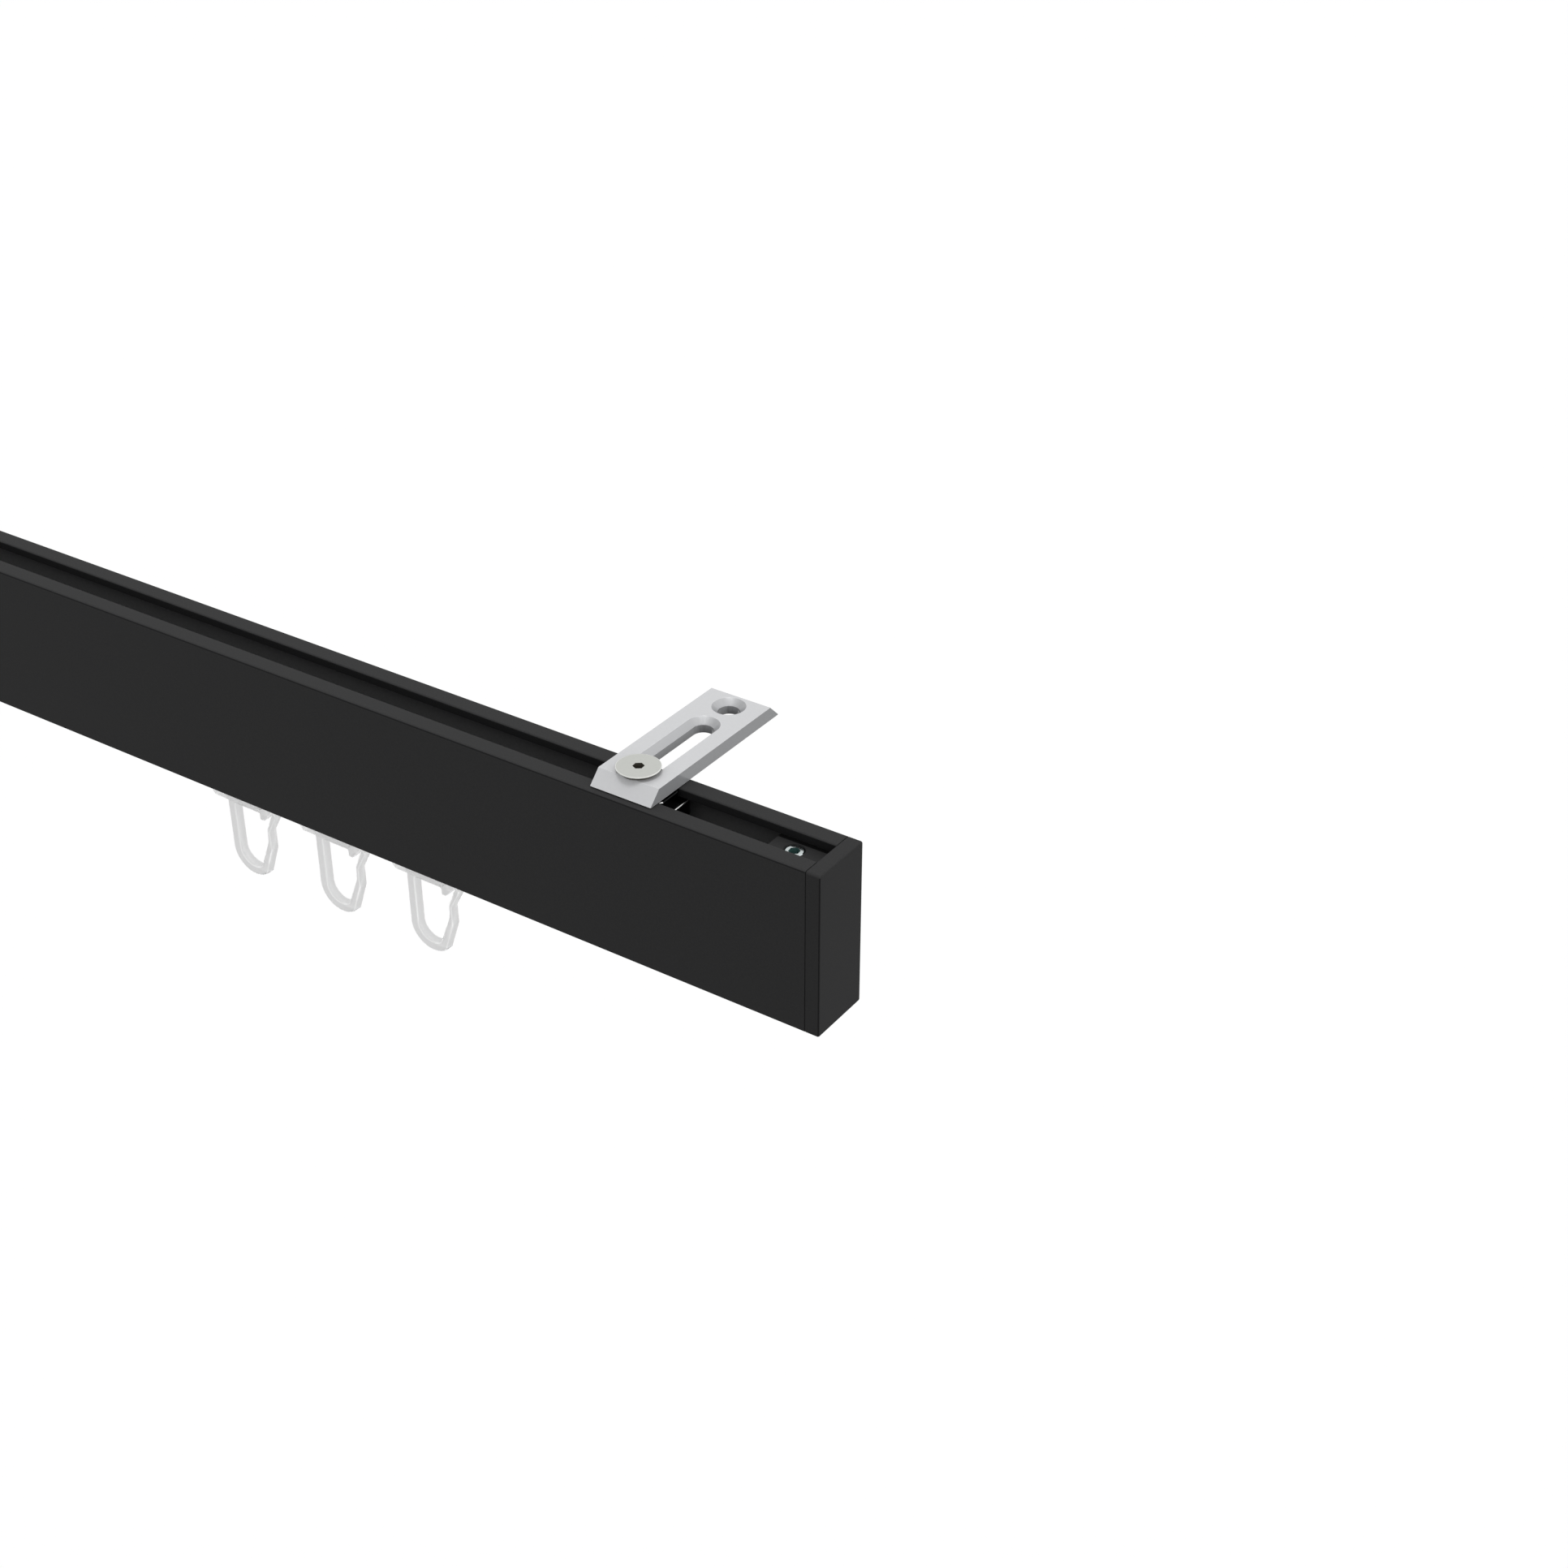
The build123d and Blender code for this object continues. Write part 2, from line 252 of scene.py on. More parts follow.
grain_group, grain_in, grain_out = node_group(
    "fine_grain",
    [("Cells per Metre", 2000.0), ("Detail", 3.0), ("Contrast", 0.1)],
    [("Tone", "NodeSocketFloat"), ("Height", "NodeSocketFloat")],
)
noise = wire(grain_group, "ShaderNodeTexNoise", {
    "Vector": wire(grain_group, "ShaderNodeTexCoord").outputs["Object"],
    "Scale": grain_in.outputs["Cells per Metre"], "Detail": grain_in.outputs["Detail"],
}).outputs["Fac"]
centred = calc(grain_group, "SUBTRACT", noise, 0.5)
scaled = calc(grain_group, "MULTIPLY", centred, grain_in.outputs["Contrast"])
grain_group.links.new(calc(grain_group, "ADD", scaled, 1.0), grain_out.inputs["Tone"])
grain_group.links.new(noise, grain_out.inputs["Height"])
print("group:", grain_group.name)

# %% Soft edge
edge_group, edge_in, edge_out = node_group(
    "soft_edge",
    [("Flat Colour", (0.5, 0.5, 0.5, 1.0)), ("Edge Colour", (0.7, 0.7, 0.7, 1.0))],
    [("Colour", "NodeSocketColor")],
)
stored = wire(edge_group, "ShaderNodeAttribute", attribute_name="edge").outputs["Fac"]
tint = wire(edge_group, "ShaderNodeMix", {
    "Factor": stored, "A": edge_in.outputs["Flat Colour"], "B": edge_in.outputs["Edge Colour"],
}, data_type="RGBA")
edge_group.links.new(tint.outputs["Result"], edge_out.inputs["Colour"])
print("group:", edge_group.name)


# %% Place window
def object_axes(tree):
    """The place on the object as three numbers."""
    where = wire(tree, "ShaderNodeTexCoord").outputs["Object"]
    return wire(tree, "ShaderNodeSeparateXYZ", {0: where}).outputs


window_group, window_in, window_out = node_group(
    "place_window",
    [("Along Max", 1.0), ("Beside Min", -1.0), ("Beside Max", 1.0),
     ("Height Min", -1.0), ("Height Max", 1.0)],
    [("Mask", "NodeSocketFloat")],
)
axes = object_axes(window_group)
along = calc(window_group, "ABSOLUTE", axes["X"])
beside = calc(window_group, "ABSOLUTE", axes["Y"])
inside = calc(window_group, "LESS_THAN", along, window_in.outputs["Along Max"])
for value, comparison, limit in (
    (beside, "GREATER_THAN", "Beside Min"), (beside, "LESS_THAN", "Beside Max"),
    (axes["Z"], "GREATER_THAN", "Height Min"), (axes["Z"], "LESS_THAN", "Height Max"),
):
    holds = calc(window_group, comparison, value, window_in.outputs[limit])
    inside = calc(window_group, "MULTIPLY", inside, holds)
window_group.links.new(inside, window_out.inputs["Mask"])
print("group:", window_group.name)

# %% [markdown]
# ## Finishes
# Seven finishes cover the rod: powder coat on the rail and on the caps, tumbled aluminium on the
# plates, two kinds of zinc on the screws, blackened steel on the nuts, and clear nylon on the
# hooks. They could be wired one by one, but all follow one recipe: a flat colour and an edge
# colour, a grain that varies colour and roughness a little, and a bump from the same grain. So a
# function makes them, and only the numbers tell them apart. What is the same all over a surface,
# such as the nylon's clearness, is set on the shader itself.

# %% One recipe for all finishes
BUMP_DEPTH = 0.02 * MM


def finish(name, flat, edge, grain_cells, contrast, roughness, rough_swing, bump, **constants):
    """A material from two colours, a grain and the shader's constant values."""
    material = bpy.data.materials.new(name)
    material.use_nodes = True
    tree = material.node_tree
    shader = tree.nodes["Principled BSDF"]
    for socket_name, value in constants.items():
        shader.inputs[socket_name.replace("_", " ")].default_value = value

    edges = wire(tree, "ShaderNodeGroup", node_tree=edge_group)
    edges.inputs["Flat Colour"].default_value = (*flat, 1.0)
    edges.inputs["Edge Colour"].default_value = (*edge, 1.0)
    grain = wire(tree, "ShaderNodeGroup", node_tree=grain_group)
    grain.inputs["Cells per Metre"].default_value = grain_cells
    grain.inputs["Contrast"].default_value = contrast

    tone, height = grain.outputs["Tone"], grain.outputs["Height"]
    colour = wire(tree, "ShaderNodeVectorMath", {0: edges.outputs["Colour"], "Scale": tone},
                  operation="SCALE")
    rough = wire(tree, "ShaderNodeMapRange", {
        "Value": height, "To Min": roughness - rough_swing, "To Max": roughness + rough_swing,
    })
    relief = wire(tree, "ShaderNodeBump", {
        "Height": height, "Strength": bump, "Distance": BUMP_DEPTH,
    })
    tree.links.new(colour.outputs[0], shader.inputs["Base Color"])
    tree.links.new(rough.outputs["Result"], shader.inputs["Roughness"])
    tree.links.new(relief.outputs["Normal"], shader.inputs["Normal"])
    return material


rail_coat = finish(
    "rail_powder_coat", flat=(0.0405, 0.0405, 0.041), edge=(0.0405, 0.0405, 0.041),
    grain_cells=2600, contrast=0.30, roughness=0.55, rough_swing=0.06, bump=0.25,
    Specular_IOR_Level=0.03,
)
print(rail_coat.name, "nodes:", len(rail_coat.node_tree.nodes))

# %% The other six finishes
cap_coat = finish(
    "cap_powder_coat", flat=(0.0385, 0.0385, 0.039), edge=(0.010, 0.010, 0.0105),
    grain_cells=2600, contrast=0.30, roughness=0.55, rough_swing=0.06, bump=0.25,
    Specular_IOR_Level=0.03,
)
# Paler edge colours below paint highlights on the roundings of plates, screws, nuts and hooks.
plate_metal = finish(
    "plate_tumbled_aluminium", flat=(0.62, 0.625, 0.637), edge=(0.66, 0.665, 0.677),
    grain_cells=1600, contrast=0.06, roughness=0.18, rough_swing=0.05, bump=0.05,
)
screw_zinc = finish(
    "screw_zinc", flat=(0.52, 0.53, 0.50), edge=(0.80, 0.81, 0.78),
    grain_cells=2200, contrast=0.06, roughness=0.40, rough_swing=0.05, bump=0.15,
)
bright_zinc = finish(
    "bright_zinc", flat=(0.70, 0.76, 0.76), edge=(0.86, 0.90, 0.90),
    grain_cells=2200, contrast=0.10, roughness=0.12, rough_swing=0.04, bump=0.02,
)
# A black nut whose edge colour paints a highlight on its roundings.
black_with_painted_glint = finish(
    "nut_blackened_steel", flat=(0.012, 0.012, 0.0125), edge=(0.80, 0.80, 0.79),
    grain_cells=2200, contrast=0.10, roughness=0.20, rough_swing=0.04, bump=0.02,
    Metallic=1.0,
)
nylon = finish(
    "hook_nylon", flat=(0.745, 0.745, 0.745), edge=(0.98, 0.98, 0.98),
    grain_cells=900, contrast=0.04, roughness=0.45, rough_swing=0.03, bump=0.1,
    IOR=1.04, Transmission_Weight=0.85, Coat_Weight=0.25, Coat_Roughness=0.45,
)
finishes = (rail_coat, cap_coat, plate_metal, screw_zinc, bright_zinc, black_with_painted_glint, nylon)
print("finishes:", [m.name for m in finishes])

# %% [markdown]
# ## Places that differ
# A finish isn't the same everywhere, and here painted shade makes most of the difference: the
# plate's upright faces and its foot, a screw's socket and the cone under its head, and the cap's
# tongue and slanted corners are painted darker as shade. A painted image could show that, but it
# would need an unwrapped mesh. Here the meshes mark such faces by name, and a patch lays another
# colour over the finish wherever it finds the mark.

# %% Patches by mark
def patch(material, mask, colour):
    """Lays another colour over a finish wherever the mask is 1."""
    tree = material.node_tree
    scale = next(n for n in tree.nodes if n.bl_idname == "ShaderNodeVectorMath")
    below = scale.inputs[0].links[0].from_socket
    over = wire(tree, "ShaderNodeMix", {"Factor": mask, "A": below, "B": (*colour, 1.0)},
                data_type="RGBA")
    tree.links.new(over.outputs["Result"], scale.inputs[0])


def marked(material, name):
    """The value of a mesh attribute, as a mask."""
    return wire(material.node_tree, "ShaderNodeAttribute", attribute_name=name).outputs["Fac"]


# Every colour in this list is painted shade; in the plate's countersinks it also varies at random.
for material, mark, colour in (
    (cap_coat, "tongue", (0.038, 0.038, 0.0385)),
    (cap_coat, "painted_corner_shade", (0.016, 0.016, 0.0165)),
    (plate_metal, "cut", (0.34, 0.345, 0.355)),
    (plate_metal, "painted_foot_shade", (0.015, 0.015, 0.015)),
    (screw_zinc, "socket", (0.075, 0.07, 0.055)),
    (bright_zinc, "socket", (0.07, 0.155, 0.145)),
):
    patch(material, marked(material, mark), colour)
    print(material.name, "has a patch for", mark)

# %% [markdown]
# The plates' countersinks are turned after tumbling, so they are bare metal that mirrors the room.
# Their mark also feeds Metallic and a little more roughness, and it varies from facet to facet as a
# cutter's marks do. The grub screw is bright metal too, but its socket is painted dark as shade,
# and dull.

# %% Turned and bare metal
TURNED_COLOUR = (0.50, 0.505, 0.515)
ANY_MARK = 0.01
CONE_ROUGHER = 0.26

plate_tree = plate_metal.node_tree
plate_inputs = plate_tree.nodes["Principled BSDF"].inputs
turned_face = marked(plate_metal, "turned")
patch(plate_metal, calc(plate_tree, "GREATER_THAN", turned_face, ANY_MARK), TURNED_COLOUR)
tumbled_rough = plate_inputs["Roughness"].links[0].from_socket
rougher = calc(plate_tree, "MULTIPLY", turned_face, CONE_ROUGHER)
plate_tree.links.new(calc(plate_tree, "ADD", tumbled_rough, rougher), plate_inputs["Roughness"])
plate_tree.links.new(turned_face, plate_inputs["Metallic"])

zinc_tree = bright_zinc.node_tree
bare = calc(zinc_tree, "SUBTRACT", 1.0, marked(bright_zinc, "socket"))
zinc_tree.links.new(bare, zinc_tree.nodes["Principled BSDF"].inputs["Metallic"])
print("plate nodes:", len(plate_tree.nodes), "grub screw nodes:", len(zinc_tree.nodes))

# %% [markdown]
# The nylon lets light through. Each wall that a ray crosses tints it again, and behind the flange
# it crosses several, until the flange looks like grey glass. Real nylon scatters light back and
# stays pale. So the colour is white for rays that have already gone through the first wall.

# %% Walls behind the first
FIRST_WALL = 1.5
PALE = (1.0, 1.0, 1.0)

walls = wire(nylon.node_tree, "ShaderNodeLightPath").outputs["Transmission Depth"]
patch(nylon, calc(nylon.node_tree, "GREATER_THAN", walls, FIRST_WALL), PALE)
print("nylon nodes:", len(nylon.node_tree.nodes))

# %% [markdown]
# Inside the channels the coat is painted paler the deeper it goes, as painted light that stands
# for the light reaching down through the slots. The walls of the slot and a line just under the
# rail's top edges are painted darker, as painted shade, because they see less of the room. The
# rail keeps its CAD mesh, which holds no marks, so these patches read the place on the section.

# %% Painted light and shade on the rail
RAIL_HEIGHT = 35.0 * MM
LIP_DEPTH = 1.8 * MM
LIP_ROUND = 0.25 * MM
SLOT_HALF = 3.2 * MM
CHANNEL_HALF = 5.6 * MM
CHANNEL_DEPTH = 7.1 * MM
NEAR = 0.02 * MM
CORNER_FROM = 6.80 * MM
CORNER_LOW = 0.42 * MM
CORNER_HIGH = 0.18 * MM
CHANNEL_PAINTED_LIGHT = (0.145, 0.145, 0.147)
SHADED_COAT = (0.0165, 0.0165, 0.017)
CORNER_PAINTED_SHADE = (0.018, 0.018, 0.0185)


def window(material, **limits):
    """The mask of a place window with the given limits, in metres."""
    node = wire(material.node_tree, "ShaderNodeGroup", node_tree=window_group)
    for name, length in limits.items():
        node.inputs[name.replace("_", " ")].default_value = length
    return node.outputs["Mask"]


def ramp(tree, value, low, high, top=1.0):
    """Rises from 0 at the low value to the top level at the high value, and stays there."""
    limits = {"Value": value, "From Min": low, "From Max": high, "To Max": top}
    return wire(tree, "ShaderNodeMapRange", limits).outputs["Result"]


def inside_channels(tree):
    """Grows from 0 behind the lips to 1 at the channels' floors, from the nearer slot."""
    where = object_axes(tree)
    from_middle = calc(tree, "ABSOLUTE", calc(tree, "ADD", where["Z"], RAIL_HEIGHT / 2))
    depth = calc(tree, "SUBTRACT", RAIL_HEIGHT / 2, from_middle)
    between_walls = calc(tree, "LESS_THAN", calc(tree, "ABSOLUTE", where["Y"]), CHANNEL_HALF)
    above_web = calc(tree, "LESS_THAN", depth, CHANNEL_DEPTH + NEAR)
    inside = calc(tree, "MULTIPLY", between_walls, above_web)
    return calc(tree, "MULTIPLY", inside, ramp(tree, depth, LIP_DEPTH, CHANNEL_DEPTH))


# Painted light deeper in the channels, then painted shade on the slot walls and under the edges.
patch(rail_coat, inside_channels(rail_coat.node_tree), CHANNEL_PAINTED_LIGHT)
patch(rail_coat, window(rail_coat, Beside_Max=SLOT_HALF,
                        Height_Min=-LIP_DEPTH, Height_Max=-LIP_ROUND), SHADED_COAT)
patch(rail_coat, window(rail_coat, Beside_Min=CORNER_FROM,
                        Height_Min=-CORNER_LOW, Height_Max=-CORNER_HIGH), CORNER_PAINTED_SHADE)
print("coat thins from", LIP_DEPTH / MM, "to", CHANNEL_DEPTH / MM, "mm deep")

# %% [markdown]
# The cap's tongue fills the end of the slot. It lies below the rail's top, so painted shade darkens
# it towards the wall side, and a painted black line of shadow runs along both its edges, where it
# meets the slot's walls. The place window finds it too, because the tongue is all of the cap that
# lies inside the rail.

# %% Painted shade on the cap's tongue
TONGUE_END = 496.9 * MM
TONGUE_CORNER = 2.15 * MM
TONGUE_SHADE = 0.45
TONGUE_PAINTED_SHADE = (0.003, 0.003, 0.003)

cap_tree = cap_coat.node_tree
beside_axis = object_axes(cap_tree)["Y"]
towards_wall = ramp(cap_tree, beside_axis, -TONGUE_CORNER, TONGUE_CORNER, TONGUE_SHADE)
on_tongue = window(cap_coat, Along_Max=TONGUE_END)
# Painted shade that deepens towards the wall side, then a painted shadow line along both edges.
patch(cap_coat, calc(cap_tree, "MULTIPLY", on_tongue, towards_wall), TONGUE_PAINTED_SHADE)
patch(cap_coat, window(cap_coat, Along_Max=TONGUE_END, Beside_Min=TONGUE_CORNER), TONGUE_PAINTED_SHADE)
print("tongue shaded up to", TONGUE_END / MM, "mm from the middle")

# %% [markdown]
# ## Softening a machined piece
# A sawn plate, a cast cap or a stamped nut never has a knife edge: tumbling or the coat rounds it
# by a tenth of a millimetre, and that narrow band is what catches the light. A Bevel modifier could
# round the edges too, but here the new bands also have to be found again for their tint. The
# frame's own meshes are left alone. A copy is welded, its flat faces are joined up, and only its
# sharp outward edges are bevelled. The vertices inside the bands get edge = 1 for Soft edge.

# %% Rounding helpers
WELD = 1e-6
FLATNESS = math.radians(1)
ROUND_PROFILE = 0.5


def welded_copy(node):
    """A CAD node's mesh with its split corners welded and its flat faces joined up."""
    mesh = bmesh.new()
    mesh.from_mesh(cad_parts[node].data)
    bmesh.ops.remove_doubles(mesh, verts=mesh.verts, dist=WELD)
    bmesh.ops.dissolve_limit(mesh, angle_limit=FLATNESS, verts=mesh.verts, edges=mesh.edges)
    return mesh


def round_edges(mesh, radius, sharper_than, segments=3, wanted=lambda edge: True):
    """Rounds the sharp outward edges and stores edge = 1 inside the roundings."""
    mesh.normal_update()
    sharp = [e for e in mesh.edges
             if e.is_manifold and e.calc_face_angle_signed() > sharper_than and wanted(e)]
    made = bmesh.ops.bevel(
        mesh, geom=sharp, offset=radius, offset_type="OFFSET", segments=segments,
        profile=ROUND_PROFILE, affect="EDGES", clamp_overlap=False, miter_outer="ARC",
    )
    bands = set(made["faces"])
    layer = mesh.verts.layers.float.get("edge") or mesh.verts.layers.float.new("edge")
    for face in bands:
        for vertex in face.verts:
            if all(f in bands for f in vertex.link_faces):
                vertex[layer] = 1.0


def mark_faces(mesh, name, amount):
    """Stores a number from 0 to 1 on each face, given by a rule for the face."""
    layer = mesh.faces.layers.float.new(name)
    mesh.normal_update()
    for face in mesh.faces:
        face[layer] = float(amount(face))


trial = welded_copy("right_end_cap")
triangles = len(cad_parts["right_end_cap"].data.polygons)
print("right end cap:", triangles, "CAD triangles become", len(trial.faces), "faces")
trial.free()

# %% [markdown]
# A softened mesh is finished in the same way each time: its roundings are shaded smooth while its
# creases stay crisp, its normals are weighted by area so that the flats look flat, and it becomes a
# piece of the scene that rides on a body and stands for its CAD node.

# %% Finishing helpers
SMOOTH_BELOW = math.radians(38)


def temporary(mesh_or_bmesh, name):
    """An object in the scene for a mesh that is still being worked on."""
    data = mesh_or_bmesh
    if isinstance(mesh_or_bmesh, bmesh.types.BMesh):
        data = bpy.data.meshes.new(name)
        mesh_or_bmesh.to_mesh(data)
        mesh_or_bmesh.free()
    thing = bpy.data.objects.new(name, data)
    bpy.context.scene.collection.objects.link(thing)
    return thing


def plain_mesh(thing, name):
    """The evaluated mesh of an object, with its modifiers applied, as a mesh of its own."""
    graph = bpy.context.evaluated_depsgraph_get()
    mesh = bpy.data.meshes.new_from_object(thing.evaluated_get(graph))
    mesh.name = name
    return mesh


def shaded(mesh, material):
    """Smooths the roundings, keeps the flats flat, and gives the mesh its one material."""
    mesh.materials.clear()
    mesh.materials.append(material)
    mesh.polygons.foreach_set("material_index", [0] * len(mesh.polygons))
    mesh.polygons.foreach_set("use_smooth", [True] * len(mesh.polygons))
    mesh.set_sharp_from_angle(angle=SMOOTH_BELOW)
    thing = temporary(mesh, mesh.name)
    weighted = thing.modifiers.new("weighted", "WEIGHTED_NORMAL")
    weighted.keep_sharp = True
    result = plain_mesh(thing, mesh.name)
    bpy.data.objects.remove(thing)
    return result


def place_piece(mesh, name, body, nodes):
    """Makes a finished mesh a piece that rides on a body and stands for its nodes."""
    piece = bpy.data.objects.new(name, mesh)
    bpy.context.scene.collection.objects.link(piece)
    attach(piece, body)
    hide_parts(*nodes)


print("creases stay crisp above", round(math.degrees(SMOOTH_BELOW)), "degrees")

# %% [markdown]
# ## Rail
# The rail is one extrusion with small radii on its corners and on the mouths of its slots. It could
# be swept again here, but CAD already has it right, so its node stays and only takes its finish.

# %% Rail finish
for material_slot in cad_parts["rail"].material_slots:
    material_slot.material = rail_coat
print("rail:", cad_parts["rail"].material_slots[0].material.name)

# %% [markdown]
# ## End caps
# The cap is a casting that slides into the rail with a tongue in each slot. Its rim is broken where
# it meets the sawn end of the rail, which is why a fine dark line shows at the joint. The line is
# half as dark on top. The two marks tell the tongue and the slanted corners from the rest, and the
# patches above paint both darker as shade.

# %% End caps
SIDES = ("left", "right")
RIGHT_ANGLE_ONLY = math.radians(60)
CAP_BREAK = 0.25 * MM
TOP_JOINT = 0.5
UPRIGHT = 0.1
SLANTED = 0.35
softened = {}


def end_cap(side):
    """The cap with a broken rim, and with its tongue and its corners marked."""
    mesh = welded_copy(f"{side}_end_cap")
    round_edges(mesh, CAP_BREAK, RIGHT_ANGLE_ONLY)
    layer = mesh.verts.layers.float["edge"]
    for vertex in mesh.verts:
        if vertex.co.z > -CAP_BREAK:
            vertex[layer] *= TOP_JOINT

    # Slanted corner faces, which get painted shade.
    def on_corner(face):
        across = min(abs(face.normal.x), abs(face.normal.y))
        return abs(face.normal.z) < UPRIGHT and across > SLANTED

    # The tongue's faces get a touch of painted shade.
    mark_faces(mesh, "tongue", lambda f: abs(f.calc_center_median().x) < TONGUE_END - NEAR)
    mark_faces(mesh, "painted_corner_shade", on_corner)
    return mesh


for side in SIDES:
    softened[f"{side}_end_cap"] = end_cap(side)
    print(side, "cap faces:", len(softened[f"{side}_end_cap"].faces))

# %% [markdown]
# ## Bracket plates
# A plate is sawn from flat bar, gets two countersinks and two sloped ends, and is tumbled bright.
# Its foot is rounded most, because that edge lies on the rail and a dark line shows under it, and
# its low faces beside the rail are painted dark as shade. The upright faces are painted darker as
# shade. Faces within the countersinks vary a little from facet to facet, as a cutter leaves them.
# A fixed seed keeps that variation the same each time.

# %% Bracket plates
ANY_CORNER = math.radians(35)
PLATE_BREAK = 0.07 * MM
PLATE_FOOT = 0.25 * MM
PLATE_OUTLINE = 0.5 * MM
RAIL_HALF_WIDTH = 7.0 * MM
LEVEL = 0.95
CONE_HALF = 3.6 * MM
CONE_ENDS = 2.46 * MM
CONE_SLOPES = (0.6, 0.8)
CUTTER_MARKS = 0.30
CUTTER_SEED = 7


def bracket_plate(side):
    """The plate with rounded edges, with its turned faces and its painted shade marked."""
    low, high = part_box(f"{side}_bracket_plate")
    axis = (low.x + high.x) / 2
    chatter = random.Random(CUTTER_SEED)

    def at_foot(edge):
        middle = (edge.verts[0].co + edge.verts[1].co) / 2
        from_outline = min(middle.x - low.x, high.x - middle.x, middle.y - low.y, high.y - middle.y)
        return abs(middle.z - low.z) < NEAR and from_outline < PLATE_OUTLINE

    def within_cutter(face):
        middle = face.calc_center_median()
        from_ends = min(middle.y - low.y, high.y - middle.y)
        return abs(middle.x - axis) < CONE_HALF and from_ends > CONE_ENDS

    # Upright faces get painted shade, varied at random within the countersinks.
    def upright_shade_and_chatter(face):
        if abs(face.normal.z) >= UPRIGHT:
            return 0.0
        return 1.0 + (chatter.random() - 0.5) * CUTTER_MARKS * within_cutter(face)

    def turned_bright(face):
        cone = CONE_SLOPES[0] < face.normal.z < CONE_SLOPES[1] and within_cutter(face)
        return 1.0 - chatter.random() * CUTTER_MARKS if cone else 0.0

    # The low faces at the foot, beside the rail, get a painted shadow line.
    def against_rail(face):
        middle = face.calc_center_median()
        low_down = face.normal.z > -LEVEL and middle.z < low.z + PLATE_FOOT
        return low_down and middle.y < RAIL_HALF_WIDTH

    mesh = welded_copy(f"{side}_bracket_plate")
    round_edges(mesh, PLATE_FOOT, RIGHT_ANGLE_ONLY, wanted=at_foot)
    round_edges(mesh, PLATE_BREAK, ANY_CORNER)
    mark_faces(mesh, "cut", upright_shade_and_chatter)
    mark_faces(mesh, "turned", turned_bright)
    mark_faces(mesh, "painted_foot_shade", against_rail)
    return mesh


for side in SIDES:
    softened[f"{side}_bracket_plate"] = bracket_plate(side)
    print(side, "plate faces:", len(softened[f"{side}_bracket_plate"].faces))

# %% [markdown]
# ## Channel nuts
# The nut is stamped steel, blackened, with a flange that runs under the rail's lips and a collar
# between them. Only the roundings at the flange's ends and at the collar's front corners keep the
# nut's bright edge colour, a painted highlight. A cut across the collar gives the painted
# highlight a clean end.

# %% Channel nuts
NUT_BREAK = 0.25 * MM
NUT_END = 8.0 * MM
COLLAR_END = 6.5 * MM
COLLAR_FRONT = -2.2 * MM
ACROSS_ROD = (0.0, 1.0, 0.0)


def channel_nut(side):
    """The nut with rounded edges, with a painted highlight at the flange's ends and collar's front.
    """
    low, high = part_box(f"{side}_channel_nut")
    axis = (low.x + high.x) / 2
    mesh = welded_copy(f"{side}_channel_nut")
    round_edges(mesh, NUT_BREAK, RIGHT_ANGLE_ONLY)
    bmesh.ops.bisect_plane(mesh, geom=[*mesh.verts, *mesh.edges, *mesh.faces],
                           plane_co=(0.0, COLLAR_FRONT, 0.0), plane_no=ACROSS_ROD)
    layer = mesh.verts.layers.float["edge"]
    # Only the flange's ends and the collar's front corners keep edge = 1, the painted highlight.
    for vertex in mesh.verts:
        along = abs(vertex.co.x - axis)
        on_collar = along > COLLAR_END and vertex.co.y < COLLAR_FRONT - NEAR
        vertex[layer] *= along > NUT_END or on_collar
    return mesh


for side in SIDES:
    softened[f"{side}_channel_nut"] = channel_nut(side)
    print(side, "nut faces:", len(softened[f"{side}_channel_nut"].faces))

# %% [markdown]
# The six meshes could be one mesh, but then nothing could move. So each becomes a piece that stands
# for its own CAD node, and the nut and the plate ride on bodies of their own.

# %% Six softened pieces
for side in SIDES:
    for kind, body, material, slot_name in (
        ("end_cap", "rail_body", cap_coat, "cap_coat"),
        ("bracket_plate", f"{side}_plate_body", plate_metal, "plate_metal"),
        ("channel_nut", f"{side}_nut_body", black_with_painted_glint, "nut_steel"),
    ):
        node = f"{side}_{kind}"
        data = bpy.data.meshes.new(f"{node}_soft")
        softened[node].to_mesh(data)
        softened[node].free()
        place_piece(shaded(data, material), f"{node}_soft", body, [node])
        print(node, "rides on", body)

# %% [markdown]
# ## Threaded fasteners
# A screw is a turned profile, a hexagonal socket and a thread, and all three follow a rule. A Screw
# modifier makes a helix, but no socket and no fading ends. A lathe in Geometry Nodes makes all of
# it from one profile: a grid has a column for each step round the axis and a row for each point of
# the profile, and every grid point looks up its row's radius and height.

# %% Lathe: a grid that looks up its profile
def geometry_tree(name, inputs):
    """A geometry node tree with named inputs and one geometry output."""
    tree = bpy.data.node_groups.new(name, "GeometryNodeTree")
    sockets = [("Geometry", "INPUT", "NodeSocketGeometry")]
    sockets += [(socket_name, "INPUT", kind) for socket_name, kind in inputs]
    sockets += [("Geometry", "OUTPUT", "NodeSocketGeometry")]
    for socket_name, in_out, kind in sockets:
        tree.interface.new_socket(name=socket_name, in_out=in_out, socket_type=kind)
    return tree, tree.nodes.new("NodeGroupInput"), tree.nodes.new("NodeGroupOutput")


